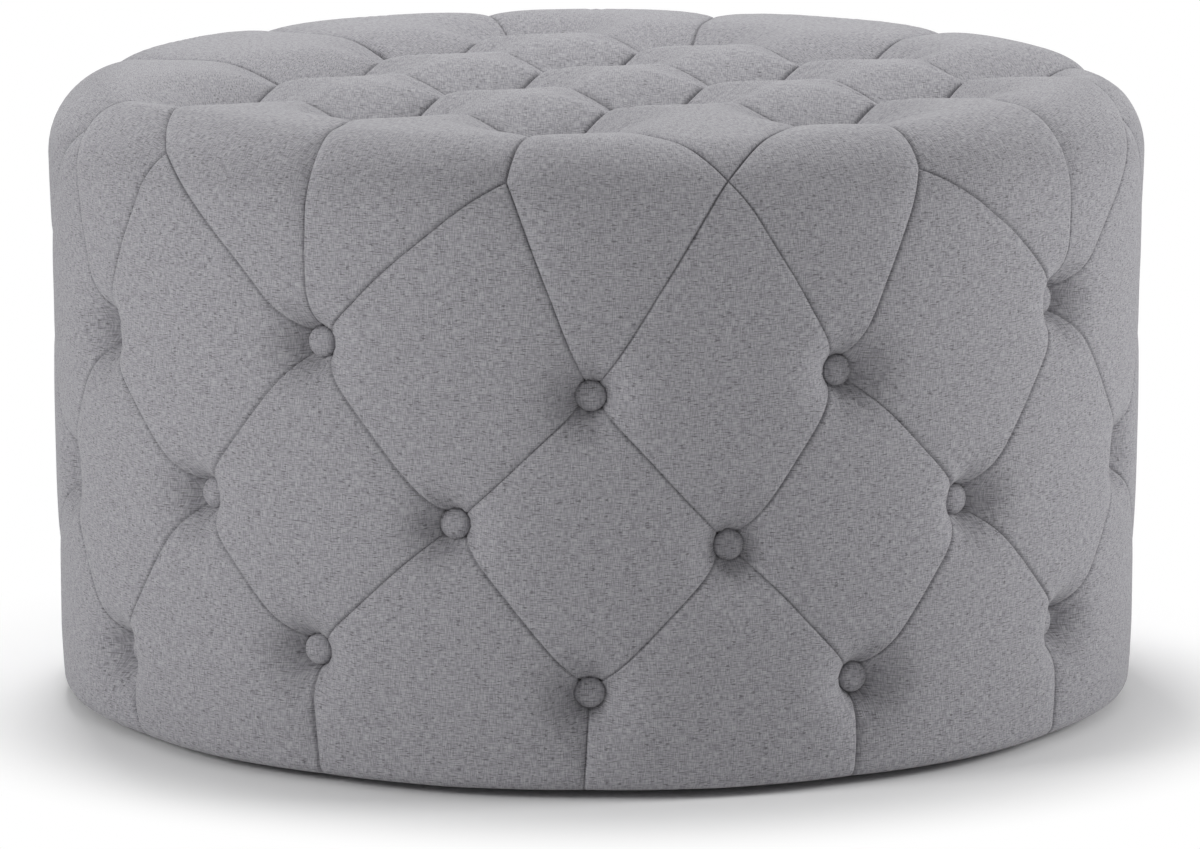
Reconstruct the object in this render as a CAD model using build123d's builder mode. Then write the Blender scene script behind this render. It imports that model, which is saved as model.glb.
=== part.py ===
"""A round button-tufted ottoman: an upholstered drum on a hidden wooden frame.

The frame stands with +Z up and its origin on the floor, under the middle of the drum.
The front faces -Y. Azimuths are in degrees, from the front towards +X.
"""
from build123d import *
from math import cos, hypot, radians, sin, sqrt, tan
import os

os.makedirs("parts", exist_ok=True)

# Overall size, in millimetres
overall_diameter = 810
overall_height = 467
rim_rounding = 58
top_dome = 5
hem_taper = 5

# Buttons of the side: three staggered rows
columns = 12
lower_row_height = 78
row_pitch = 112
side_pleat_depth = 7

# Buttons of the top: a square lattice, turned against the side
lattice_size = 4
tuft_pitch = 141
lattice_turn = 59.2
lattice_right = 18.5
lattice_front = 35.5
top_pleat_depth = 16

# Pleats over the rim and down to the hem
junction_angle = 37
junction_depth = 6.5
pass_angle = 45
pass_depth = 8
rim_pleat_depth = 10
faint_pleat_depth = 4
hem_pleat_depth = 5
hem_crown_depth = 1.5
hem_slope_depth = 9

# Pillow form: each pillow is split from its nodes to its crown into quilted quads
quilt_steps = 3
button_pull = 20
pull_reach = 70
pull_power = 3
pillow_power = 2.2
crease_power = 0.6

# Covered buttons
button_diameter = 22
button_height = 8
button_bevel = 4.5
button_bevel_height = 3
button_sides = 8
seat_sink = 1
seat_gap = 0.3

# Layers under the cover
soft_gap = 0.3
foam_radius = 369.7
foam_edge = 24
top_foam_thickness = 49.7
panel_thickness = 3
board_radius = 351.7

# Wooden frame
deck_thickness = 15
base_thickness = 18
deck_height = 371
posts = 6
post_size = 45
post_turn = 7.5
joint_gap = 0.2

# Sides of small round hardware and of its holes
hardware_sides = 8

# Screws that hold the posts
screw_diameter = 4
screw_head_diameter = 8
screw_head_angle = 82
screw_length = 50
screw_gap = 0.1

# Underside
glide_height = 5
glide_diameter = 25
glide_edge = 1.5
glide_sides = 16
glide_circle_radius = 338
dust_cloth_thickness = 0.8
dust_cloth_radius = 356
cloth_thickness = 1.6
flap_inner_radius = 318
nail_diameter = 2.5
nail_head_diameter = 6
nail_head_thickness = 1
nail_head_sink = 1
nail_length = 18
nail_gap = 0.1

# Reach of a cut past the surface that it goes through
overrun = 2

# Hand-made unevenness of the rows, column by column from the front towards +X
upper_turns = (-0.6, -3.8, -3.1, -1.5, 0.8, -0.6, 1.2, 0, -0.8, 0.9, -2.5, -0.3)
upper_lift_shares = (-0.16, -0.06, 0.19, 0.05, -0.04, 0.07, -0.03, 0.04, -0.05, 0.04, -0.05, 0.1)
middle_turns = (-0.9, -2.9, -1, 0.6, -0.5, 0.4, 0.7, -0.6, 0.3, 0.4, -0.9, -0.1)
middle_lift_shares = (-0.12, 0.02, 0.03, -0.03, 0.04, -0.02, 0.03, 0, 0.03, -0.08, 0.03, 0.01)
lower_turns = (-0.7, -1.4, -1.4, 0.5, -0.6, 0.3, -0.4, 0.6, 0, 0.5, -1, -1.3)
lower_lift_shares = (-0.04, -0.03, 0.07, -0.04, 0.05, 0, 0.04, -0.03, 0.05, 0.02, -0.14, 0.13)
junction_turns = (-1.5, -9.7, 5, 1, -1, 0.5, -0.5, 1, 0, 4, -6.5, 5.8)
hem_turns = (-1.3, -2.6, -3.7, 0.6, -0.5, 0.4, -0.3, 0.5, 0.4, 0.6, 4, 0.5)

# Sizes that follow
side_button_depth = side_pleat_depth + button_pull
top_button_depth = top_pleat_depth + button_pull
rim_radius = overall_diameter / 2 - rim_rounding
rim_height = overall_height - top_dome - rim_rounding
inner_radius = rim_radius - rim_rounding
inner_height = rim_height - rim_rounding
middle_row_height = lower_row_height + row_pitch
upper_row_height = middle_row_height + row_pitch
column_step = 360 / columns
dust_cloth_height = glide_height
hem_height = dust_cloth_height + dust_cloth_thickness
base_height = hem_height + cloth_thickness
base_top_height = base_height + base_thickness
deck_under_height = deck_height - deck_thickness
panel_inner_radius = board_radius + soft_gap
panel_radius = panel_inner_radius + panel_thickness
foam_inner_radius = panel_radius + soft_gap
cavity_radius = foam_radius + soft_gap
cavity_height = deck_height + top_foam_thickness + soft_gap
post_radius = sqrt(board_radius ** 2 - post_size ** 2 / 4) - post_size / 2
seat_radius = button_diameter / 2 + seat_gap
screw_hole_radius = screw_diameter / 2 + screw_gap
screw_sink_radius = screw_head_diameter / 2 + screw_gap
screw_head_height = (screw_head_diameter - screw_diameter) / 2 / tan(radians(screw_head_angle / 2))
nail_hole_radius = nail_diameter / 2 + nail_gap
post_step = 360 / posts
joint_azimuth = post_turn + post_step


def outward(azimuth):
    """The level direction away from the middle at an azimuth."""
    return Vector(sin(radians(azimuth)), -cos(radians(azimuth)), 0)


def skin_gap(radius, height):
    """How far a place of the section lies outside the even, untufted skin."""
    out = radius - rim_radius
    up = height - rim_height
    return hypot(max(out, 0), max(up, 0)) + min(max(out, up), 0) - rim_rounding


def seat(point, depth):
    """The place on the skin that faces a point, pressed in by a depth."""
    radius = hypot(point.X, point.Y)
    low_radius = min(radius, inner_radius)
    low_height = min(point.Z, inner_height)
    run = hypot(radius - low_radius, point.Z - low_height)
    out = (radius - low_radius) / run
    up = (point.Z - low_height) / run
    near, far = 0, overall_diameter
    while far - near > overall_diameter * 1e-9:
        middle = (near + far) / 2
        if skin_gap(low_radius + out * middle, low_height + up * middle) > -depth:
            far = middle
        else:
            near = middle
    place = low_radius + out * near
    height = low_height + up * near
    dome = top_dome * (1 - min(1, place / rim_radius) ** 2)
    taper = hem_taper * max(0, 1 - height / rim_height)
    turn = (place - taper) / radius
    return Vector(point.X * turn, point.Y * turn, height + dome)


def on_side(azimuth, height, depth):
    """A place on the drum's side."""
    return seat(outward(azimuth) * overall_diameter + Vector(0, 0, height), depth)


def on_rim(azimuth, angle, depth):
    """A place on the rounded rim, at an angle above the level."""
    reach = Vector(0, 0, sin(radians(angle))) + outward(azimuth) * cos(radians(angle))
    return seat(outward(azimuth) * rim_radius + Vector(0, 0, rim_height) + reach * rim_rounding, depth)


# Places of the tufts, the pleat crossings and the hem
nodes = {}
for column in range(columns):
    front = column * column_step
    between = front + column_step / 2
    upper_height = upper_row_height + upper_lift_shares[column] * row_pitch
    middle_height = middle_row_height + middle_lift_shares[column] * row_pitch
    lower_height = lower_row_height + lower_lift_shares[column] * row_pitch
    upper_azimuth = front + upper_turns[column]
    middle_azimuth = between + middle_turns[column]
    lower_azimuth = front + lower_turns[column]
    junction_azimuth = between + junction_turns[column]
    hem_azimuth = front + hem_turns[column]
    nodes["upper", column] = on_side(upper_azimuth, upper_height, side_button_depth)
    nodes["middle", column] = on_side(middle_azimuth, middle_height, side_button_depth)
    nodes["lower", column] = on_side(lower_azimuth, lower_height, side_button_depth)
    nodes["junction", column] = on_rim(junction_azimuth, junction_angle, junction_depth)
    nodes["hem", column] = on_side(hem_azimuth, hem_height, hem_pleat_depth)

lattice_middle = Vector(lattice_right, -lattice_front, 0)
lattice_back = Vector(cos(radians(lattice_turn)), sin(radians(lattice_turn)), 0) * tuft_pitch
lattice_side = Vector(sin(radians(lattice_turn)), -cos(radians(lattice_turn)), 0) * tuft_pitch
lattice_half = (lattice_size - 1) / 2
for row in range(lattice_size):
    for place in range(lattice_size):
        spot = lattice_middle + lattice_side * (row - lattice_half) + lattice_back * (place - lattice_half)
        nodes["top", row, place] = seat(spot + Vector(0, 0, overall_height), top_button_depth)

# The front corner of the lattice falls on the rim, where it is a bare crossing of pleats
front_corner = ("junction", 0)
del nodes["top", lattice_size - 1, 0]

# Two pleats run from an upper button straight over the rim to a tuft of the top
for column in (2, 11):
    azimuth = column * column_step + upper_turns[column]
    nodes["pass", column] = on_rim(azimuth, pass_angle, pass_depth)

# Outlines of the pillows, each a ring of node names
cells = []
for row in range(lattice_size - 1):
    for place in range(lattice_size - 1):
        around = [("top", row, place), ("top", row, place + 1),
                  ("top", row + 1, place + 1), ("top", row + 1, place)]
        cells.append([name if name in nodes else front_corner for name in around])
cells += [
    [("top", 2, 0), ("top", 1, 0), ("pass", 11), ("upper", 11), ("junction", 11)],
    [("top", 2, 0), ("junction", 11), ("upper", 0), front_corner],
    [front_corner, ("upper", 1), ("junction", 1), ("top", 3, 1)],
    [("top", 3, 1), ("junction", 1), ("upper", 2), ("pass", 2), ("top", 3, 2)],
    [("top", 3, 2), ("pass", 2), ("upper", 2), ("junction", 2), ("top", 3, 3)],
    [("top", 3, 3), ("junction", 2), ("upper", 3), ("junction", 3)],
    [("top", 3, 3), ("junction", 3), ("upper", 4), ("junction", 4), ("top", 2, 3)],
    [("top", 2, 3), ("junction", 4), ("upper", 5), ("junction", 5), ("top", 1, 3)],
    [("top", 1, 3), ("junction", 5), ("upper", 6), ("junction", 6), ("top", 0, 3)],
    [("top", 0, 3), ("junction", 6), ("upper", 7), ("junction", 7), ("top", 0, 2)],
    [("top", 0, 2), ("junction", 7), ("upper", 8), ("junction", 8), ("top", 0, 1)],
    [("top", 0, 1), ("junction", 8), ("upper", 9), ("junction", 9), ("top", 0, 0)],
    [("top", 0, 0), ("junction", 9), ("upper", 10), ("junction", 10)],
    [("top", 0, 0), ("junction", 10), ("upper", 11), ("pass", 11), ("top", 1, 0)],
]
for column in range(columns):
    following = (column + 1) % columns
    before = (column - 1) % columns
    cells.append([("junction", column), ("upper", column), ("middle", column), ("upper", following)])
    cells.append([("upper", column), ("middle", before), ("lower", column), ("middle", column)])
    cells.append([("middle", column), ("lower", column), ("hem", column),
                  ("hem", following), ("lower", following)])


def is_button(name):
    """Whether a node is a button, not a bare crossing."""
    return name[0] in ("top", "upper", "middle", "lower")


def pleat_depth(first, second):
    """How deep the pleat between two nodes lies halfway."""
    kinds = sorted((first[0], second[0]))
    if kinds == ["hem", "hem"]:
        return hem_crown_depth
    if kinds == ["hem", "lower"]:
        return hem_slope_depth
    if {first, second} == {("top", 0, 0), ("junction", 10)}:
        return faint_pleat_depth
    if "top" not in kinds:
        return side_pleat_depth
    return top_pleat_depth if kinds == ["top", "top"] else rim_pleat_depth


def node_depth(name):
    """How deep a bare crossing lies, or the cloth at a button but for the button's own pull."""
    bare = {"junction": junction_depth, "pass": pass_depth, "hem": hem_pleat_depth, "top": top_pleat_depth}
    return bare.get(name[0], side_pleat_depth)


def blend(first, last, along):
    """A value or place part of the way from one to another."""
    return first * (1 - along) + last * along


button_tops = [seat(place, 0) for name, place in nodes.items() if is_button(name)]


def pressed(place, hollow):
    """A place of the cloth, pressed in by its pleats and by the pull of the nearest button."""
    even = seat(place, 0)
    reach = min((even - top).length for top in button_tops) - button_diameter / 2
    pull = max(0, 1 - max(0, reach) / pull_reach) ** pull_power
    return seat(place, hollow + button_pull * pull)


def half_pleat(name, other):
    """Places along a pleat, from one node to halfway to the next."""
    halfway = seat((nodes[name] + nodes[other]) / 2, 0)
    points = []
    for step in range(quilt_steps + 1):
        along = step / quilt_steps
        hollow = blend(node_depth(name), pleat_depth(name, other), along)
        points.append(pressed(blend(nodes[name], halfway, along), hollow))
    return points


def quilted_quad(name, ahead, ahead_depth, behind, behind_depth, crown):
    """Rows of places between a node, the halfway places of its two pleats, and the pillow's crown."""
    grid = []
    for row in range(quilt_steps + 1):
        across = row / quilt_steps
        line = []
        for step in range(quilt_steps + 1):
            along = step / quilt_steps
            place = blend(blend(nodes[name], ahead, along), blend(behind, crown, along), across)
            hollow = blend(blend(node_depth(name), ahead_depth, along),
                           blend(behind_depth, 0, along), across)
            fullness = (1 - (along * across) ** crease_power) ** pillow_power
            line.append(pressed(place, hollow * fullness))
        grid.append(line)
    return grid


def split_quad(first, second, third, fourth):
    """The two flat facets of a quad, parted along its shorter diagonal."""
    if (third - first).length > (fourth - second).length:
        first, second, third, fourth = second, third, fourth, first
    return [Face(Wire.make_polygon([first, second, third])), Face(Wire.make_polygon([first, third, fourth]))]


def pillow(names):
    """The facets of one pillow, from its pleats to its crown, two to each step of its quads."""
    crown = seat(sum((nodes[name] for name in names), Vector(0, 0, 0)) / len(names), 0)
    facets = []
    for before, name, after in zip(names[-1:] + names[:-1], names, names[1:] + names[:1]):
        ahead = seat((nodes[name] + nodes[after]) / 2, 0)
        behind = seat((nodes[before] + nodes[name]) / 2, 0)
        grid = quilted_quad(name, ahead, pleat_depth(name, after), behind, pleat_depth(before, name), crown)
        for row, further in zip(grid, grid[1:]):
            for step in range(quilt_steps):
                facets += split_quad(row[step], row[step + 1], further[step + 1], further[step])
    return facets


# Button seats: a plane at the back of each button, facing outwards
def side_seat(name):
    point = nodes[name]
    facing = Vector(point.X, point.Y, 0).normalized()
    return Plane(origin=point - facing * seat_sink, z_dir=facing)


upper_seats = [side_seat(("upper", column)) for column in range(columns)]
middle_seats = [side_seat(("middle", column)) for column in range(columns)]
lower_seats = [side_seat(("lower", column)) for column in range(columns)]
side_seats = upper_seats + middle_seats + lower_seats
top_names = [name for name in nodes if name[0] == "top"]
top_seats = [Plane(nodes[name] - Vector(0, 0, seat_sink)) for name in top_names]

# Places of the posts, their screws and the glides
post_azimuths = [post_turn + post_step * post for post in range(posts)]
post_places = [outward(azimuth) * post_radius for azimuth in post_azimuths]
glide_places = [outward(azimuth + post_step / 2) * glide_circle_radius for azimuth in post_azimuths]
deck_screw_seats = [Plane(place + Vector(0, 0, deck_height)) for place in post_places]
base_screw_seats = [Plane(place + Vector(0, 0, base_height), z_dir=(0, 0, -1)) for place in post_places]

# Cover: linen-look cloth over sewn fibre wadding, pulled in at every button
skin = []
for names in cells:
    skin += pillow(names)
hem_outline = []
for column in range(columns):
    this = ("hem", column)
    following = ("hem", (column + 1) % columns)
    hem_outline += half_pleat(this, following)[:-1] + half_pleat(following, this)[:0:-1]
skin.append(Face(Wire.make_polygon(hem_outline)))

with BuildPart() as cover:
    add(Solid(Shell(skin)))
    with BuildSketch(Plane.XZ):
        with BuildLine():
            Polyline((0, base_height), (cavity_radius, base_height),
                     (cavity_radius, cavity_height - foam_edge), (cavity_radius - foam_edge, cavity_height),
                     (0, cavity_height), close=True)
        make_face()
    revolve(axis=Axis.Z, mode=Mode.SUBTRACT)
    with BuildSketch(Plane.XY.offset(hem_height)):
        Circle(flap_inner_radius)
    extrude(amount=cloth_thickness, mode=Mode.SUBTRACT)
    with BuildSketch(*side_seats):
        RegularPolygon(seat_radius, button_sides)
    extrude(amount=side_button_depth + seat_sink + overrun, mode=Mode.SUBTRACT)
    with BuildSketch(*top_seats):
        RegularPolygon(seat_radius, button_sides)
    extrude(amount=top_button_depth + seat_sink + overrun, mode=Mode.SUBTRACT)
    with BuildSketch(Plane.XY.offset(hem_height)):
        with Locations(*glide_places):
            RegularPolygon(nail_hole_radius, hardware_sides)
    extrude(amount=cloth_thickness, mode=Mode.SUBTRACT)
cover.part.label = "cover"
export_step(cover.part, "parts/cover.step")

# Covered buttons: a cloth-covered dome on a flat back
with BuildPart() as covered_button:
    with BuildSketch():
        RegularPolygon(button_diameter / 2, button_sides)
    extrude(amount=button_height)
    chamfer(covered_button.edges().group_by(Axis.Z)[-1], button_bevel, button_bevel_height)

with BuildPart() as top_buttons:
    with Locations(*top_seats):
        add(covered_button.part)
top_buttons.part.label = "top_buttons"
export_step(top_buttons.part, "parts/top_buttons.step")

with BuildPart() as upper_side_buttons:
    with Locations(*upper_seats):
        add(covered_button.part)
upper_side_buttons.part.label = "upper_side_buttons"
export_step(upper_side_buttons.part, "parts/upper_side_buttons.step")

with BuildPart() as middle_side_buttons:
    with Locations(*middle_seats):
        add(covered_button.part)
middle_side_buttons.part.label = "middle_side_buttons"
export_step(middle_side_buttons.part, "parts/middle_side_buttons.step")

with BuildPart() as lower_side_buttons:
    with Locations(*lower_seats):
        add(covered_button.part)
lower_side_buttons.part.label = "lower_side_buttons"
export_step(lower_side_buttons.part, "parts/lower_side_buttons.step")

# Foam: a thick pad on the deck and a thinner band round the panels
with BuildPart() as top_foam:
    with BuildSketch(Plane.XY.offset(deck_height)):
        Circle(foam_radius)
    extrude(amount=top_foam_thickness)
    chamfer(top_foam.edges().group_by(Axis.Z)[-1], foam_edge)
top_foam.part.label = "top_foam"
export_step(top_foam.part, "parts/top_foam.step")

with BuildPart() as side_foam:
    with BuildSketch(Plane.XY.offset(base_height)):
        Circle(foam_radius)
        Circle(foam_inner_radius, mode=Mode.SUBTRACT)
    extrude(amount=deck_height - base_height)
side_foam.part.label = "side_foam"
export_step(side_foam.part, "parts/side_foam.step")

# Side panels: thin hardboard bent round the boards, in two halves that meet at two posts
panel_joint = Plane(origin=(0, 0, 0), x_dir=outward(joint_azimuth), z_dir=outward(joint_azimuth - 90))


def side_panel(label, keep):
    with BuildPart() as panel:
        with BuildSketch(Plane.XY.offset(base_height)):
            Circle(panel_radius)
            Circle(panel_inner_radius, mode=Mode.SUBTRACT)
        extrude(amount=deck_height - base_height)
        split(bisect_by=panel_joint.offset(joint_gap / 2 if keep == Keep.TOP else -joint_gap / 2), keep=keep)
    panel.part.label = label
    export_step(panel.part, "parts/" + label + ".step")
    return panel


side_panel_left = side_panel("side_panel_left", Keep.BOTTOM)
side_panel_right = side_panel("side_panel_right", Keep.TOP)

# Wooden frame: two round boards held apart by posts
with BuildPart() as top_deck:
    with BuildSketch(Plane.XY.offset(deck_under_height)):
        Circle(board_radius)
    extrude(amount=deck_thickness)
    with BuildSketch(*deck_screw_seats):
        RegularPolygon(screw_sink_radius, hardware_sides)
    extrude(amount=-screw_head_height, taper=screw_head_angle / 2, mode=Mode.SUBTRACT)
    with BuildSketch(*deck_screw_seats):
        RegularPolygon(screw_hole_radius, hardware_sides)
    extrude(amount=-deck_thickness, mode=Mode.SUBTRACT)
top_deck.part.label = "top_deck"
export_step(top_deck.part, "parts/top_deck.step")

with BuildPart() as base_board:
    with BuildSketch(Plane.XY.offset(base_height)):
        Circle(board_radius)
    extrude(amount=base_thickness)
    with BuildSketch(*base_screw_seats):
        RegularPolygon(screw_sink_radius, hardware_sides)
    extrude(amount=-screw_head_height, taper=screw_head_angle / 2, mode=Mode.SUBTRACT)
    with BuildSketch(*base_screw_seats):
        RegularPolygon(screw_hole_radius, hardware_sides)
    extrude(amount=-base_thickness, mode=Mode.SUBTRACT)
    with BuildSketch(Plane.XY.offset(base_height)):
        with Locations(*glide_places):
            RegularPolygon(nail_hole_radius, hardware_sides)
    extrude(amount=nail_length - base_height + nail_head_sink + nail_gap, mode=Mode.SUBTRACT)
base_board.part.label = "base_board"
export_step(base_board.part, "parts/base_board.step")

for number, azimuth in enumerate(post_azimuths, start=1):
    foot = post_places[number - 1] + Vector(0, 0, base_top_height)
    head = post_places[number - 1] + Vector(0, 0, deck_under_height)
    with BuildPart() as post:
        with BuildSketch(Plane(foot, x_dir=outward(azimuth))):
            Rectangle(post_size, post_size)
        extrude(amount=deck_under_height - base_top_height)
        with BuildSketch(Plane(foot)):
            RegularPolygon(screw_hole_radius, hardware_sides)
        extrude(amount=screw_length - base_thickness + overrun, mode=Mode.SUBTRACT)
        with BuildSketch(Plane(head)):
            RegularPolygon(screw_hole_radius, hardware_sides)
        extrude(amount=-(screw_length - deck_thickness + overrun), mode=Mode.SUBTRACT)
    post.part.label = "post_" + str(number)
    export_step(post.part, "parts/post_" + str(number) + ".step")

# Countersunk screws, one through each board into each end of a post
with BuildPart() as wood_screw:
    with BuildSketch():
        RegularPolygon(screw_head_diameter / 2, hardware_sides)
    extrude(amount=-screw_head_height, taper=screw_head_angle / 2)
    with BuildSketch():
        RegularPolygon(screw_diameter / 2, hardware_sides)
    extrude(amount=-screw_length)

with BuildPart() as deck_screws:
    with Locations(*deck_screw_seats):
        add(wood_screw.part)
deck_screws.part.label = "deck_screws"
export_step(deck_screws.part, "parts/deck_screws.step")

with BuildPart() as base_screws:
    with Locations(*base_screw_seats):
        add(wood_screw.part)
base_screws.part.label = "base_screws"
export_step(base_screws.part, "parts/base_screws.step")

# Underside: a dust cloth and nailed glides
with BuildPart() as dust_cloth:
    with BuildSketch(Plane.XY.offset(dust_cloth_height)):
        Circle(dust_cloth_radius)
        with Locations(*glide_places):
            RegularPolygon(nail_hole_radius, hardware_sides, mode=Mode.SUBTRACT)
    extrude(amount=dust_cloth_thickness)
dust_cloth.part.label = "dust_cloth"
export_step(dust_cloth.part, "parts/dust_cloth.step")

with BuildPart() as glides:
    with BuildSketch():
        with Locations(*glide_places):
            RegularPolygon(glide_diameter / 2, glide_sides)
    extrude(amount=glide_height)
    chamfer(glides.edges().group_by(Axis.Z)[0], glide_edge)
    with BuildSketch():
        with Locations(*glide_places):
            RegularPolygon(nail_head_diameter / 2 + nail_gap, hardware_sides)
    extrude(amount=nail_head_sink + nail_head_thickness, mode=Mode.SUBTRACT)
    with BuildSketch():
        with Locations(*glide_places):
            RegularPolygon(nail_hole_radius, hardware_sides)
    extrude(amount=glide_height, mode=Mode.SUBTRACT)
glides.part.label = "glides"
export_step(glides.part, "parts/glides.step")

with BuildPart() as glide_nails:
    with BuildSketch(Plane.XY.offset(nail_head_sink)):
        with Locations(*glide_places):
            RegularPolygon(nail_head_diameter / 2, hardware_sides)
    extrude(amount=nail_head_thickness)
    with BuildSketch(Plane.XY.offset(nail_head_sink)):
        with Locations(*glide_places):
            RegularPolygon(nail_diameter / 2, hardware_sides)
    extrude(amount=nail_length)
glide_nails.part.label = "glide_nails"
export_step(glide_nails.part, "parts/glide_nails.step")
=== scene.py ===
"""Looks of a round button-tufted ottoman, on the frame that its CAD model gives.

The padded cover is a network of pleats between its buttons. Each pillow between them is
made of grids that are seated on the drum and pressed in at its pleats and buttons.
Lengths are in metres and angles in degrees.
"""
from math import cos, hypot, pi, radians, sin

import bmesh
import bpy
import numpy as np
from mathutils import Matrix, Vector


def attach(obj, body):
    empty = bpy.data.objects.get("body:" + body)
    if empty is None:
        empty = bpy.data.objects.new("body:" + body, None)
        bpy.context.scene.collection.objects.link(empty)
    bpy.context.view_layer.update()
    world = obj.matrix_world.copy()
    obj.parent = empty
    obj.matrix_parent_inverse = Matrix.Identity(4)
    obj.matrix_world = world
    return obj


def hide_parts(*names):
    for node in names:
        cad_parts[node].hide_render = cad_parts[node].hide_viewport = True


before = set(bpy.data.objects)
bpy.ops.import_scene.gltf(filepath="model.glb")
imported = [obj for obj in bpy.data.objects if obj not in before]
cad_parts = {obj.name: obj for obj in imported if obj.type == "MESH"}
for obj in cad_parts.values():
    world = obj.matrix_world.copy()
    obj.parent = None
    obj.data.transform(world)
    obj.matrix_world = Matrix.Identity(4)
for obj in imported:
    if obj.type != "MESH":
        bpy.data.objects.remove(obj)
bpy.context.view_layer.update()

# Drum, as in the CAD model
overall_radius = 0.405
overall_height = 0.467
rim_rounding = 0.058
top_dome = 0.005
hem_taper = 0.005
hem_height = 0.0058
hem_rounding = 0.010
underside_radius = 0.345
underside_rise = 0.0005
rim_radius = overall_radius - rim_rounding
rim_height = overall_height - top_dome - rim_rounding
inner_radius = rim_radius - rim_rounding
inner_height = rim_height - rim_rounding

# Rows of side buttons
columns = 12
column_step = 360 / columns
lower_row_height = 0.078
row_pitch = 0.112
middle_row_height = lower_row_height + row_pitch
upper_row_height = middle_row_height + row_pitch

# Lattice of top buttons
lattice_size = 4
tuft_pitch = 0.141
lattice_turn = 59.2
lattice_right = 0.0185
lattice_front = 0.0355

# Pleats, bare crossings and the pull of the buttons
side_pleat_depth = 0.0025
top_pleat_depth = 0.008
top_cross_pleat_depth = 0.005
rim_pleat_depth = 0.005
faint_pleat_depth = 0.004
hem_pleat_depth = 0.005
hem_slope_depth = 0.009
hem_edge_depth = 0.0015
junction_angle = 37
junction_depth = 0.0065
pass_angle = 45
pass_depth = 0.008
side_button_depth = 0.027
top_button_depth = 0.036

# Fullness of the pillows, and fineness of their mesh
quilt_steps = 20
crease_closeness = 1.6
pillow_power = 2.6
crease_power = 0.62
seat_steps = 40

# Dips that the buttons pull into the cloth, and the wrinkles that run out of them
side_pull = 0.023
side_pull_reach = 0.050
side_pull_power = 3.6
side_bowl_share = 0
side_wrinkle_depth = 0.0014
top_pull = 0.027
top_pull_reach = 0.082
top_pull_power = 2
top_bowl_share = 0.3
top_wrinkle_depth = 0.005
fine_wrinkles = 9
broad_wrinkles = 5

# Fold along each pleat: a hairline groove, deepest at the buttons
fold_depth = 0.0032
fold_end_depth = 0.0019
fold_width = 0.0011
cross_fold_share = 0.15
weld_distance = 0.00002

# Hand-made unevenness of the rows, column by column from the front towards +X
upper_turns = (-0.6, -3.8, -3.1, -1.5, 0.8, -0.6, 1.2, 0, -0.8, 0.9, -2.5, -0.3)
upper_lift_shares = (-0.16, -0.06, 0.19, 0.05, -0.04, 0.07, -0.03, 0.04, -0.05, 0.04, -0.05, 0.1)
middle_turns = (-0.9, -2.9, -1, 0.6, -0.5, 0.4, 0.7, -0.6, 0.3, 0.4, -0.9, -0.1)
middle_lift_shares = (-0.12, 0.02, 0.03, -0.03, 0.04, -0.02, 0.03, 0, 0.03, -0.08, 0.03, 0.01)
lower_turns = (-0.7, -1.4, -1.4, 0.5, -0.6, 0.3, -0.4, 0.6, 0, 0.5, -1, -1.3)
lower_lift_shares = (-0.04, -0.03, 0.07, -0.04, 0.05, 0, 0.04, -0.03, 0.05, 0.02, -0.14, 0.13)
junction_turns = (-1.5, -9.7, 5, 1, -1, 0.5, -0.5, 1, 0, 4, -6.5, 5.8)
hem_turns = (-1.3, -2.6, -3.7, 0.6, -0.5, 0.4, -0.3, 0.5, 0.4, 0.6, 4, 0.5)

# Covered buttons
button_radius = 0.011
button_height = 0.008
button_seat_sink = 0.001
button_steps = 28
button_groove_width = 0.003
button_groove_depth = 0.003

# Cloth: how often its grain repeats in a metre along and across a thread, and its thickness
thread_repeats = (170, 1400)
slub_repeats = (210, 1150)
patch_repeats = (60, 90)
thread_relief = 0.00025
linen_dark = (0.22, 0.215, 0.235, 1)
linen_light = (0.41, 0.405, 0.425, 1)
fleck_color = (0.12, 0.115, 0.125, 1)
fleck_strength = 0.75
underside_normal = -0.9

# Studio: each lamp has its name, place, the height it aims at, its size and its power
floor_half_size = 30
floor_fade_radius = 0.56
world_strength = 0.375
lamps = (
    ("sky_lamp", (-0.3, 1.3, 2.8), 0.3, 1.0, 49),
    ("left_lamp", (-3.2, -1.8, 1.6), 0.25, 1.0, 53),
    ("right_lamp", (3.2, -0.1, 1.4), 0.25, 1.0, 50),
)
camera_place = (0, -5.265, 1.166)
camera_pitch = 10.46
camera_lens = 215.4
camera_sensor_width = 36
camera_shift_share = 0.003
camera_reach = 100


def outward(azimuth):
    """The level direction away from the middle at an azimuth."""
    return Vector((sin(radians(azimuth)), -cos(radians(azimuth)), 0))


def skin_gap(radius, height):
    """How far places of the section lie outside the even, untufted skin."""
    out = radius - rim_radius
    up = height - rim_height
    corner = np.hypot(np.maximum(out, 0), np.maximum(up, 0))
    return corner + np.minimum(np.maximum(out, up), 0) - rim_rounding


def seat_all(points, depths):
    """The places on the skin that face the points, each pressed in by its depth."""
    points = np.asarray(points, dtype=float)
    radius = np.hypot(points[:, 0], points[:, 1])
    low_radius = np.minimum(radius, inner_radius)
    low_height = np.minimum(points[:, 2], inner_height)
    run = np.hypot(radius - low_radius, points[:, 2] - low_height)
    out = (radius - low_radius) / run
    up = (points[:, 2] - low_height) / run
    near = np.zeros(len(points))
    far = np.full(len(points), 2 * overall_radius)
    for _ in range(seat_steps):
        middle = (near + far) / 2
        outside = skin_gap(low_radius + out * middle, low_height + up * middle) > -depths
        far = np.where(outside, middle, far)
        near = np.where(outside, near, middle)
    place = low_radius + out * near
    height = low_height + up * near
    dome = top_dome * (1 - np.minimum(1, place / rim_radius) ** 2)
    taper = hem_taper * np.maximum(0, 1 - height / rim_height)
    turn = (place - taper) / radius
    return np.stack([points[:, 0] * turn, points[:, 1] * turn, height + dome], axis=1)


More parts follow.
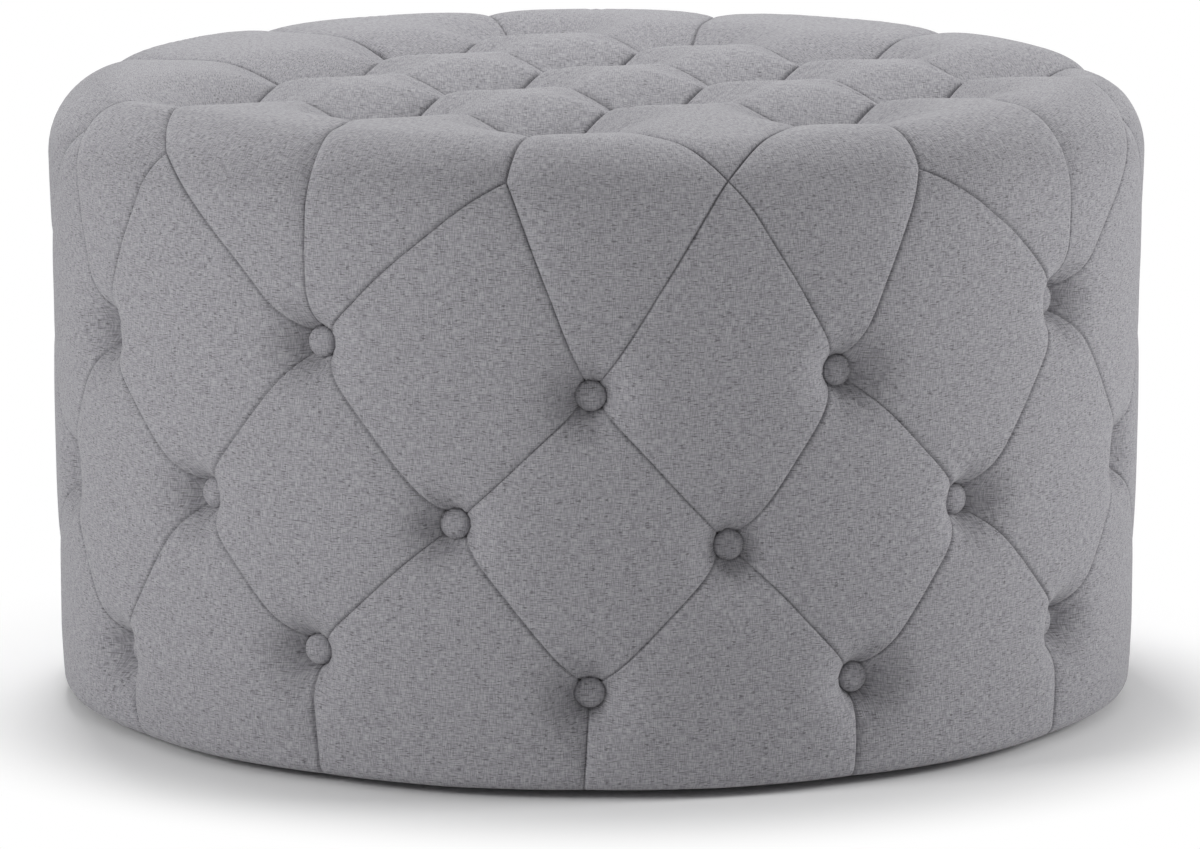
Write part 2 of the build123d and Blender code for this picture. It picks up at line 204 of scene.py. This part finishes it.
def seat(point, depth):
    """The place on the skin that faces one point, pressed in by a depth."""
    return Vector(seat_all([point], np.array([depth]))[0])


def on_side(azimuth, height, depth):
    """A place on the drum's side."""
    return seat(outward(azimuth) * 2 * overall_radius + Vector((0, 0, height)), depth)


def on_rim(azimuth, angle, depth):
    """A place on the rounded rim, at an angle above the level."""
    reach = Vector((0, 0, sin(radians(angle)))) + outward(azimuth) * cos(radians(angle))
    return seat(outward(azimuth) * rim_radius + Vector((0, 0, rim_height)) + reach * rim_rounding, depth)


def pleat_network():
    """The places of the buttons and crossings, and the outline of every pillow between them."""
    nodes = {}
    for column in range(columns):
        front = column * column_step
        between = front + column_step / 2
        upper_height = upper_row_height + upper_lift_shares[column] * row_pitch
        middle_height = middle_row_height + middle_lift_shares[column] * row_pitch
        lower_height = lower_row_height + lower_lift_shares[column] * row_pitch
        junction_azimuth = between + junction_turns[column]
        nodes["upper", column] = on_side(front + upper_turns[column], upper_height, side_button_depth)
        nodes["middle", column] = on_side(between + middle_turns[column], middle_height, side_button_depth)
        nodes["lower", column] = on_side(front + lower_turns[column], lower_height, side_button_depth)
        nodes["junction", column] = on_rim(junction_azimuth, junction_angle, junction_depth)
        nodes["hem", column] = on_side(front + hem_turns[column], hem_height, hem_pleat_depth)
    lattice_middle = Vector((lattice_right, -lattice_front, overall_height))
    turn = radians(lattice_turn)
    back_step = Vector((cos(turn), sin(turn), 0)) * tuft_pitch
    side_step = Vector((sin(turn), -cos(turn), 0)) * tuft_pitch
    half = (lattice_size - 1) / 2
    for row in range(lattice_size):
        for place in range(lattice_size):
            spot = lattice_middle + side_step * (row - half) + back_step * (place - half)
            nodes["top", row, place] = seat(spot, top_button_depth)
    front_corner = ("junction", 0)
    del nodes["top", lattice_size - 1, 0]
    for column in (2, 11):
        nodes["pass", column] = on_rim(column * column_step + upper_turns[column], pass_angle, pass_depth)
    cells = []
    for row in range(lattice_size - 1):
        for place in range(lattice_size - 1):
            around = [("top", row, place), ("top", row, place + 1),
                      ("top", row + 1, place + 1), ("top", row + 1, place)]
            cells.append([name if name in nodes else front_corner for name in around])
    cells += [
        [("top", 2, 0), ("top", 1, 0), ("pass", 11), ("upper", 11), ("junction", 11)],
        [("top", 2, 0), ("junction", 11), ("upper", 0), front_corner],
        [front_corner, ("upper", 1), ("junction", 1), ("top", 3, 1)],
        [("top", 3, 1), ("junction", 1), ("upper", 2), ("pass", 2), ("top", 3, 2)],
        [("top", 3, 2), ("pass", 2), ("upper", 2), ("junction", 2), ("top", 3, 3)],
        [("top", 3, 3), ("junction", 2), ("upper", 3), ("junction", 3)],
        [("top", 3, 3), ("junction", 3), ("upper", 4), ("junction", 4), ("top", 2, 3)],
        [("top", 2, 3), ("junction", 4), ("upper", 5), ("junction", 5), ("top", 1, 3)],
        [("top", 1, 3), ("junction", 5), ("upper", 6), ("junction", 6), ("top", 0, 3)],
        [("top", 0, 3), ("junction", 6), ("upper", 7), ("junction", 7), ("top", 0, 2)],
        [("top", 0, 2), ("junction", 7), ("upper", 8), ("junction", 8), ("top", 0, 1)],
        [("top", 0, 1), ("junction", 8), ("upper", 9), ("junction", 9), ("top", 0, 0)],
        [("top", 0, 0), ("junction", 9), ("upper", 10), ("junction", 10)],
        [("top", 0, 0), ("junction", 10), ("upper", 11), ("pass", 11), ("top", 1, 0)],
    ]
    for column in range(columns):
        following = (column + 1) % columns
        before = (column - 1) % columns
        cells.append([("junction", column), ("upper", column), ("middle", column), ("upper", following)])
        cells.append([("upper", column), ("middle", before), ("lower", column), ("middle", column)])
        cells.append([("middle", column), ("lower", column), ("hem", column),
                      ("hem", following), ("lower", following)])
    return nodes, cells


def pleat_depth(first, second):
    """How deep the pleat between two nodes lies at its shallowest."""
    kinds = sorted((first[0], second[0]))
    if kinds == ["hem", "hem"]:
        return hem_edge_depth
    if kinds == ["hem", "lower"]:
        return hem_slope_depth
    if {first, second} == {("top", 0, 0), ("junction", 10)}:
        return faint_pleat_depth
    if "top" not in kinds:
        return side_pleat_depth
    if kinds == ["top", "top"]:
        return top_pleat_depth if first[1] == second[1] else top_cross_pleat_depth
    return rim_pleat_depth


def fold_share(first, second):
    """How much of a fold shows in a pleat: those across the top lie nearly closed."""
    across_top = first[0] == second[0] == "top" and first[1] != second[1]
    return cross_fold_share if across_top else 1


def node_depth(name):
    """How deep a bare node lies, or what is left of a button's depth under its pull."""
    bare = {"junction": junction_depth, "pass": pass_depth, "hem": hem_pleat_depth, "top": top_pleat_depth}
    return bare.get(name[0], side_pleat_depth)


def is_button(name):
    """Whether a node of the network is a button."""
    return name[0] in ("top", "upper", "middle", "lower")


def quilted_quad(bm, corners, hollows, shares):
    """A grid from a node to its pillow's crown: its verts, their even places, hollows and folds.

    The corners are the node, the halfway places of its two pleats, and the crown. The shares say
    how much of a fold shows in each pleat.
    """
    places, depths, folds = [], [], []
    name, ahead, behind, crown = corners
    node_hollow, ahead_hollow, behind_hollow = hollows
    made = bmesh.ops.create_grid(bm, x_segments=quilt_steps, y_segments=quilt_steps, size=0.5)["verts"]
    for vert in made:
        along = max(0, vert.co.x + 0.5) ** crease_closeness
        across = max(0, vert.co.y + 0.5) ** crease_closeness
        place = name.lerp(ahead, along).lerp(behind.lerp(crown, along), across)
        places.append(place)
        hollow = node_hollow * (1 - along) * (1 - across)
        hollow += ahead_hollow * along * (1 - across) + behind_hollow * across * (1 - along)
        depths.append(hollow * (1 - (along * across) ** crease_power) ** pillow_power)
        pleats = (((place - name.lerp(ahead, along)).length, along, shares[0]),
                  ((place - name.lerp(behind, across)).length, across, shares[1]))
        near, reach, share = min(pleats)
        depth = share * (fold_depth + (fold_end_depth - fold_depth) * reach)
        folds.append(depth * max(0, 1 - near / fold_width))
    return made, places, depths, folds


def quilt(nodes, cells):
    """The cover's skin: each pillow in grids from its buttons to its crown, welded along its pleats."""
    bm = bmesh.new()
    flat_top = bm.faces.layers.int.new("flat_top")
    verts, places, depths, folds = [], [], [], []
    for names in cells:
        crown = seat(sum((nodes[name] for name in names), Vector()) / len(names), 0)
        on_top = all(name[0] == "top" for name in names)
        for before, name, after in zip(names[-1:] + names[:-1], names, names[1:] + names[:1]):
            ahead = seat((nodes[name] + nodes[after]) / 2, 0)
            behind = seat((nodes[before] + nodes[name]) / 2, 0)
            corners = (nodes[name], ahead, behind, crown)
            hollows = (node_depth(name), pleat_depth(name, after), pleat_depth(before, name))
            shares = (fold_share(name, after), fold_share(before, name))
            made, new_places, new_depths, new_folds = quilted_quad(bm, corners, hollows, shares)
            verts += made
            places += new_places
            depths += new_depths
            folds += new_folds
            for face in {face for vert in made for face in vert.link_faces}:
                face[flat_top] = on_top
    side = (side_pull, side_pull_reach, side_pull_power, side_bowl_share, side_wrinkle_depth)
    top = (top_pull, top_pull_reach, top_pull_power, top_bowl_share, top_wrinkle_depth)
    buttons = [(seat(place, 0), *(top if name[0] == "top" else side))
               for name, place in nodes.items() if is_button(name)]
    for vert, place in zip(verts, press_in(np.array(places), np.array(depths) + np.array(folds), buttons)):
        vert.co = place
    bmesh.ops.remove_doubles(bm, verts=bm.verts[:], dist=weld_distance)
    bmesh.ops.recalc_face_normals(bm, faces=bm.faces[:])
    return bm


def press_in(places, depths, buttons):
    """Seats places of the cloth, pressed in by their depth and the pull of the nearest button."""
    even = seat_all(places, np.zeros(len(places)))
    pull = np.zeros(len(places))
    ring = np.zeros(len(places))
    for turn, (button, depth, reach, power, bowl, wrinkle) in enumerate(buttons):
        run = even - np.array(button)
        away = np.linalg.norm(run, axis=1) - button_radius
        share = np.maximum(0, 1 - np.maximum(0, away) / reach)
        along_rim = np.array((-button.y, button.x, 0)) / hypot(button.x, button.y)
        angle = np.arctan2(run[:, 2] + run[:, 1], run @ along_rim)
        ripple = np.cos(angle * fine_wrinkles + turn) + np.cos(angle * broad_wrinkles - turn)
        dip = (1 - bowl) * share ** power + bowl * share ** 2 * (3 - 2 * share)
        pull = np.maximum(pull, depth * dip + wrinkle * ripple * share ** 2 * (1 - share))
        ring = np.maximum(ring, 1 - np.abs(away) / button_groove_width)
    return seat_all(places, depths + pull + button_groove_depth * ring)


def close_underside(bm):
    """Rounds the hem under and closes the cover's underside."""
    for vert in bm.verts:
        low = min(1, max(0, 1 - (vert.co.z - hem_height) / hem_rounding))
        radius = hypot(vert.co.x, vert.co.y)
        drawn_in = hem_rounding * (1 - (1 - low ** 2) ** 0.5)
        if drawn_in:
            vert.co.xy *= (radius - drawn_in) / radius
    border = [edge for edge in bm.edges if edge.is_boundary]
    turned = bmesh.ops.extrude_edge_only(bm, edges=border)["geom"]
    for vert in (item for item in turned if isinstance(item, bmesh.types.BMVert)):
        vert.co.xy *= underside_radius / hypot(vert.co.x, vert.co.y)
        vert.co.z = hem_height + underside_rise
    inner = [edge for edge in bm.edges if edge.is_boundary]
    bmesh.ops.contextual_create(bm, geom=inner)
    bmesh.ops.recalc_face_normals(bm, faces=bm.faces[:])


def skin_length(place):
    """Distance up the drum's section, from the floor over the rim and in across the top."""
    radius = hypot(place.x, place.y)
    if place.z < rim_height:
        return place.z
    if radius > rim_radius:
        angle = np.arctan2(place.z - rim_height, radius - rim_radius)
        return rim_height + rim_rounding * angle
    return rim_height + rim_rounding * pi / 2 + rim_radius - radius


def lay_weave(bm):
    """A UV map in metres along the cloth's threads: flat on the top's pillows, round the drum elsewhere."""
    flat_top = bm.faces.layers.int["flat_top"]
    weave = bm.loops.layers.uv.new("weave")
    for face in bm.faces:
        middle = face.calc_center_median()
        middle_turn = np.arctan2(middle.x, -middle.y)
        for loop in face.loops:
            place = loop.vert.co
            if face[flat_top] or face.normal.z < underside_normal:
                loop[weave].uv = (place.x, place.y)
            else:
                turn = np.arctan2(place.x, -place.y)
                turn += 2 * pi * round((middle_turn - turn) / (2 * pi))
                loop[weave].uv = (turn * overall_radius, skin_length(place))


def add_piece(name, bm, smooth=True):
    """A mesh object of the ottoman from a finished bmesh."""
    mesh = bpy.data.meshes.new(name)
    for face in bm.faces:
        face.smooth = smooth
    bm.to_mesh(mesh)
    bm.free()
    piece = bpy.data.objects.new(name, mesh)
    bpy.context.scene.collection.objects.link(piece)
    return piece


def refine(piece):
    """Rounds a piece off with one level of subdivision surface."""
    surface = piece.modifiers.new("rounding", "SUBSURF")
    surface.levels = 1
    surface.render_levels = surface.levels


def make_cover(nodes, cells):
    """The padded cloth cover, in place of the CAD's plain one."""
    bm = quilt(nodes, cells)
    close_underside(bm)
    lay_weave(bm)
    cover = add_piece("tufted_cover", bm)
    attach(cover, "root")
    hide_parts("cover")
    return cover


def button_shape():
    """One covered button, standing on its flat back: a spun section."""
    bm = bmesh.new()
    section_shares = [(0, 0), (0.9, 0), (0.97, 0.08), (1, 0.25), (0.99, 0.42), (0.94, 0.58),
                      (0.83, 0.72), (0.65, 0.85), (0.4, 0.95), (0, 1)]
    verts = [bm.verts.new((out * button_radius, 0, up * button_height)) for out, up in section_shares]
    edges = [bm.edges.new(pair) for pair in zip(verts, verts[1:])]
    bmesh.ops.spin(bm, geom=verts + edges, axis=(0, 0, 1), cent=(0, 0, 0), angle=2 * pi,
                   steps=button_steps, use_merge=True)
    bmesh.ops.remove_doubles(bm, verts=bm.verts[:], dist=weld_distance)
    bmesh.ops.recalc_face_normals(bm, faces=bm.faces[:])
    weave = bm.loops.layers.uv.new("weave")
    for face in bm.faces:
        for loop in face.loops:
            loop[weave].uv = loop.vert.co.xy
    return bm


def make_buttons(nodes, row, node):
    """All covered buttons of one row, as one piece in place of its CAD node."""
    bm = bmesh.new()
    weave = bm.loops.layers.uv.new("weave")
    one = button_shape()
    shape = bpy.data.meshes.new("button_shape")
    one.to_mesh(shape)
    one.free()
    for name, place in nodes.items():
        if name[0] != row:
            continue
        facing = Vector((0, 0, 1)) if row == "top" else Vector((place.x, place.y, 0)).normalized()
        turn = facing.to_track_quat("Z", "Y").to_matrix().to_4x4()
        known = len(bm.verts)
        bm.from_mesh(shape)
        bm.verts.ensure_lookup_table()
        move = Matrix.Translation(place - facing * button_seat_sink) @ turn
        bmesh.ops.transform(bm, matrix=move, verts=bm.verts[known:])
        for face in {face for vert in bm.verts[known:] for face in vert.link_faces}:
            for loop in face.loops:
                loop[weave].uv += place.xy
    buttons = add_piece("covered_" + node, bm)
    refine(buttons)
    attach(buttons, "root")
    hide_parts(node)
    return buttons


class Sum:
    """An output socket that writes Math nodes when it is used in an expression."""

    def __init__(self, tree, socket):
        self.tree = tree
        self.socket = socket

    def maths(self, operation, other):
        return self.tree.node("ShaderNodeMath", {"operation": operation}, [self, other])

    def __add__(self, other):
        return self.maths("ADD", other)

    def __mul__(self, other):
        return self.maths("MULTIPLY", other)

    __radd__ = __add__
    __rmul__ = __mul__


class Nodes:
    """A node tree of a material or the world, built node by node."""

    def __init__(self, tree, output):
        self.tree = tree
        self.tree.nodes.clear()
        self.output = self.tree.nodes.new(output)

    def node(self, kind, settings=None, inputs=None, output=0):
        """Adds a node, with its settings first and then its inputs, and returns one output."""
        made = self.tree.nodes.new(kind)
        for name, value in (settings or {}).items():
            if name == "stops":
                while len(made.color_ramp.elements) < len(value):
                    made.color_ramp.elements.new(1)
                for element, (place, color) in zip(made.color_ramp.elements, value):
                    element.position = place
                    element.color = color
            else:
                setattr(made, name, value)
        pairs = inputs.items() if isinstance(inputs, dict) else enumerate(inputs or [])
        for name, value in pairs:
            self.feed(made.inputs[name], value)
        return Sum(self, made.outputs[output])

    def feed(self, socket, value):
        """Links an output to a socket, or sets the socket's own value."""
        if isinstance(value, Sum):
            self.tree.links.new(value.socket, socket)
        else:
            socket.default_value = value

    def show(self, surface):
        """Makes a shader the tree's surface."""
        self.feed(self.output.inputs["Surface"], surface)

    def plain_rays(self):
        """1 for the rays that see the background itself: from the camera, a mirror or glass."""
        rays = ("Is Camera Ray", "Is Glossy Ray", "Is Transmission Ray")
        return sum(self.node("ShaderNodeLightPath", output=ray) for ray in rays)


class Finish(Nodes):
    """A procedural material round one Principled shader."""

    def __init__(self, name, **constants):
        self.material = bpy.data.materials.new(name)
        self.material.use_nodes = True
        super().__init__(self.material.node_tree, "ShaderNodeOutputMaterial")
        self.shader = self.tree.nodes.new("ShaderNodeBsdfPrincipled")
        self.look = Sum(self, self.shader.outputs["BSDF"])
        self.show(self.look)
        self.set(**constants)

    def coordinates(self, uv=None):
        """The piece's UV map of a name, or else its own Object coordinates."""
        if uv:
            return self.node("ShaderNodeUVMap", {"uv_map": uv})
        return self.node("ShaderNodeTexCoord", output="Object")

    def stretched(self, where, along, across, deep=1):
        """Coordinates with a number of repeats in a metre each way."""
        return self.node("ShaderNodeMapping", inputs={"Vector": where, "Scale": (along, across, deep)})

    def grain(self, where, scale, detail=2, roughness=0.5):
        return self.node("ShaderNodeTexNoise", inputs={
            "Vector": where, "Scale": scale, "Detail": detail, "Roughness": roughness})

    def ramp(self, value, stops):
        return self.node("ShaderNodeValToRGB", {"stops": stops}, {"Fac": value})

    def mixed(self, share, first, second):
        """Two colours mixed by a share."""
        return self.node("ShaderNodeMix", {"data_type": "RGBA"}, {0: share, 6: first, 7: second}, output=2)

    def bump(self, height, distance, strength=1.0):
        return self.node("ShaderNodeBump", inputs={
            "Height": height, "Distance": distance, "Strength": strength})

    def set(self, **values):
        """Feeds the shader's sockets, which are named with _ for each space."""
        for name, value in values.items():
            self.feed(self.shader.inputs[name.replace("_", " ")], value)
        return self.material


def gray(level, warmth=0.0):
    """A grey, a little warmer or cooler where asked."""
    return (level * (1 + warmth), level, level * (1 - warmth), 1)


def linen_finish():
    """Heathered grey linen-look cloth: a plain weave with fine slubs and dark flecks along its threads."""
    linen = Finish("grey_linen", Sheen_Weight=0.15, Sheen_Roughness=0.5, Specular_IOR_Level=0.15)
    threads = linen.coordinates("weave")
    weft = linen.grain(linen.stretched(threads, *thread_repeats), 1, 1)
    warp = linen.grain(linen.stretched(threads, *reversed(thread_repeats)), 1, 1)
    slubs = linen.grain(linen.stretched(threads, *slub_repeats), 1, 0)
    patches = linen.grain(linen.stretched(threads, *patch_repeats), 1, 2)
    flecks = linen.ramp(slubs * 0.85 + patches * 0.15, [(0.31, gray(1)), (0.35, gray(0))])
    heather = linen.ramp(weft * 0.48 + warp * 0.48 + patches * 0.04,
                         [(0.38, linen_dark), (0.62, linen_light)])
    cloth = linen.mixed(flecks * fleck_strength, heather, fleck_color)
    relief = linen.bump(weft + warp, thread_relief)
    return linen.set(Base_Color=cloth, Roughness=patches * 0.1 + 0.85, Normal=relief)


def foam_finish():
    """Open-celled cream foam."""
    foam = Finish("cream_foam", Specular_IOR_Level=0.2)
    places = foam.coordinates()
    cells = foam.grain(places, 600, 3)
    color = foam.ramp(cells, [(0.3, (0.62, 0.56, 0.38, 1)), (0.7, (0.8, 0.75, 0.55, 1))])
    return foam.set(Base_Color=color, Roughness=0.9 + cells * 0.05, Normal=foam.bump(cells, 0.0005))


def wood_finish(name, dark, light, along):
    """Sawn wood, with how often its grain repeats in a metre along each axis."""
    wood = Finish(name, Specular_IOR_Level=0.3)
    places = wood.coordinates()
    grain = wood.grain(wood.stretched(places, *along), 1, 5, 0.6)
    color = wood.ramp(grain, [(0.3, dark), (0.7, light)])
    return wood.set(Base_Color=color, Roughness=0.6 + grain * 0.2, Normal=wood.bump(grain, 0.0003))


def steel_finish():
    """Zinc-plated steel with light wear."""
    steel = Finish("zinc_steel", Metallic=1.0)
    wear = steel.grain(steel.coordinates(), 900, 3)
    color = steel.ramp(wear, [(0.3, gray(0.45, 0.03)), (0.7, gray(0.62, 0.03))])
    return steel.set(Base_Color=color, Roughness=0.3 + wear * 0.2)


def dust_cloth_finish():
    """Thin black spunbonded cloth."""
    black = Finish("black_cloth", Specular_IOR_Level=0.2)
    fibres = black.grain(black.coordinates(), 1200, 2)
    color = black.ramp(fibres, [(0.35, gray(0.008)), (0.7, gray(0.03))])
    return black.set(Base_Color=color, Roughness=0.8 + fibres * 0.1, Normal=black.bump(fibres, 0.0002))


def glide_finish():
    """Black plastic with fine scuffs."""
    plastic = Finish("black_plastic")
    scuffs = plastic.grain(plastic.coordinates(), 250, 4)
    color = plastic.ramp(scuffs, [(0.3, gray(0.012)), (0.75, gray(0.03))])
    return plastic.set(Base_Color=color, Roughness=0.4 + scuffs * 0.25)


def dress(piece, finish):
    """Gives a piece its finish."""
    piece.data.materials.clear()
    piece.data.materials.append(finish)


def dress_inner_pieces():
    """Gives the CAD's inner pieces and underside their finishes."""
    plywood = wood_finish("plywood", (0.42, 0.27, 0.14, 1), (0.66, 0.48, 0.29, 1), (4, 60, 60))
    post_wood = wood_finish("post_wood", (0.5, 0.33, 0.17, 1), (0.72, 0.54, 0.33, 1), (60, 60, 4))
    hardboard = wood_finish("hardboard", (0.12, 0.06, 0.03, 1), (0.22, 0.12, 0.06, 1), (300, 300, 300))
    pieces = {
        foam_finish(): ("top_foam", "side_foam"),
        plywood: ("top_deck", "base_board"),
        hardboard: ("side_panel_left", "side_panel_right"),
        steel_finish(): ("deck_screws", "base_screws", "glide_nails"),
        dust_cloth_finish(): ("dust_cloth",),
        glide_finish(): ("glides",),
        post_wood: [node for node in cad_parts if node.startswith("post_")],
    }
    for finish, names in pieces.items():
        for name in names:
            dress(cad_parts[name], finish)


def floor_finish():
    """A pale floor that keeps the shadow near the ottoman and turns plain white further off."""
    paint = Finish("floor_paint", Base_Color=gray(0.95), Roughness=0.9, Specular_IOR_Level=0)
    apart = paint.node("ShaderNodeVectorMath", {"operation": "LENGTH"}, [paint.coordinates()], "Value")
    fade = paint.node("ShaderNodeMapRange", {"interpolation_type": "SMOOTHSTEP"}, {
        "Value": apart, "From Min": overall_radius, "From Max": floor_fade_radius})
    white = paint.node("ShaderNodeEmission")
    paint.show(paint.node("ShaderNodeMixShader", inputs=[fade * paint.plain_rays(), paint.look, white]))
    return paint.material


def make_world():
    """Even light from all round, behind which the background shows as plain white."""
    world = bpy.data.worlds.new("studio")
    world.use_nodes = True
    sky = Nodes(world.node_tree, "ShaderNodeOutputWorld")
    light = sky.node("ShaderNodeBackground", inputs={"Color": gray(1), "Strength": world_strength})
    shown = sky.node("ShaderNodeBackground", inputs={"Color": gray(1)})
    sky.show(sky.node("ShaderNodeMixShader", inputs=[sky.plain_rays(), light, shown]))
    return world


def make_lamp(name, place, aim_height, size, power):
    """A square soft lamp that faces the ottoman's axis at a height."""
    data = bpy.data.lights.new(name, "AREA")
    data.size = size
    data.energy = power
    lamp = bpy.data.objects.new(name, data)
    lamp.location = place
    lamp.rotation_euler = (Vector((0, 0, aim_height)) - lamp.location).to_track_quat("-Z", "Y").to_euler()
    bpy.context.scene.collection.objects.link(lamp)


def make_camera():
    """The photograph's camera: level with the front, a little above, and looking slightly down."""
    data = bpy.data.cameras.new("photo_camera")
    data.sensor_width = camera_sensor_width
    data.lens = camera_lens
    data.shift_x = camera_shift_share
    data.clip_end = camera_reach
    camera = bpy.data.objects.new("photo_camera", data)
    camera.location = camera_place
    camera.rotation_euler = (radians(90 - camera_pitch), 0, 0)
    bpy.context.scene.collection.objects.link(camera)
    return camera


def make_studio():
    """A pale floor, soft light from above and both sides, and the photograph's camera."""
    scene = bpy.context.scene
    scene.view_settings.view_transform = "Standard"
    bm = bmesh.new()
    bmesh.ops.create_grid(bm, x_segments=1, y_segments=1, size=floor_half_size)
    floor = add_piece("studio_floor", bm, smooth=False)
    dress(floor, floor_finish())
    scene.world = make_world()
    for lamp in lamps:
        make_lamp(*lamp)
    scene.camera = make_camera()


nodes, cells = pleat_network()
linen = linen_finish()
dress(make_cover(nodes, cells), linen)
for row, node in (("top", "top_buttons"), ("upper", "upper_side_buttons"),
                  ("middle", "middle_side_buttons"), ("lower", "lower_side_buttons")):
    dress(make_buttons(nodes, row, node), linen)
dress_inner_pieces()
make_studio()
